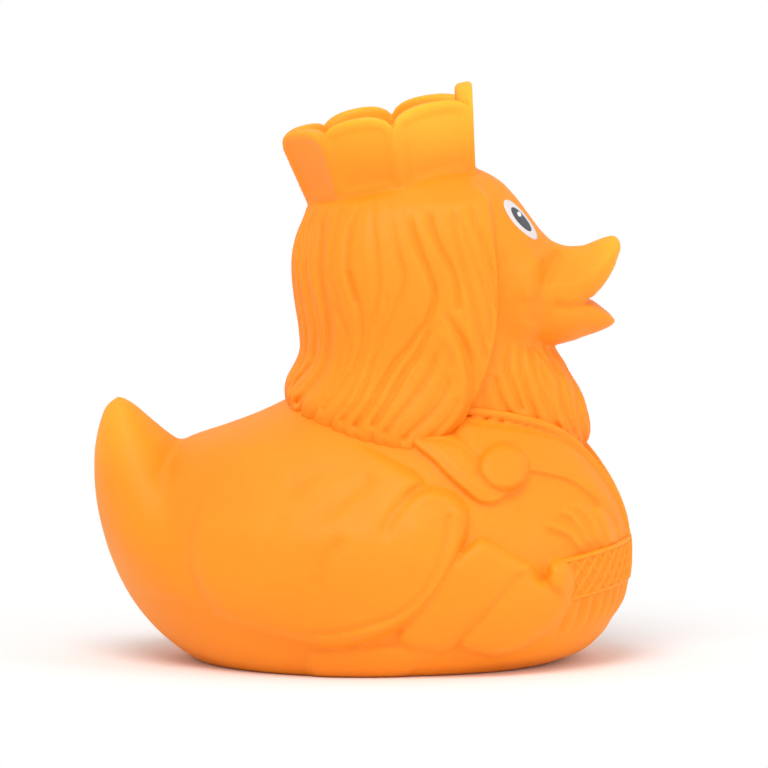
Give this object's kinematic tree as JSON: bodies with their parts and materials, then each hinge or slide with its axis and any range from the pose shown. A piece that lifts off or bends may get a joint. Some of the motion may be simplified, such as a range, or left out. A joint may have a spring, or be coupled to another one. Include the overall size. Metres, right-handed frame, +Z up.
{
  "type": "rubber duck",
  "caption": "Orange soft vinyl bath duck dressed as a bearded king, with long wavy hair, a plated crown, wide sleeves and an open beak.",
  "frame": {"origin": "middle of the bounding box at the bottom, on the plane of the flat base", "axes": "+X forward towards the beak, +Y to the duck's left, +Z up"},
  "size_m": [0.0854, 0.0688, 0.0914],
  "materials": {
    "orange_vinyl": "satin",
    "eye_white": "satin",
    "eye_grey": "satin"
  },
  "bodies": {
    "root": {"duck_body": "orange_vinyl", "eye_white_right": "eye_white", "eye_white_left": "eye_white", "pupil_right": "eye_grey", "pupil_left": "eye_grey"}
  },
  "joints": []
}
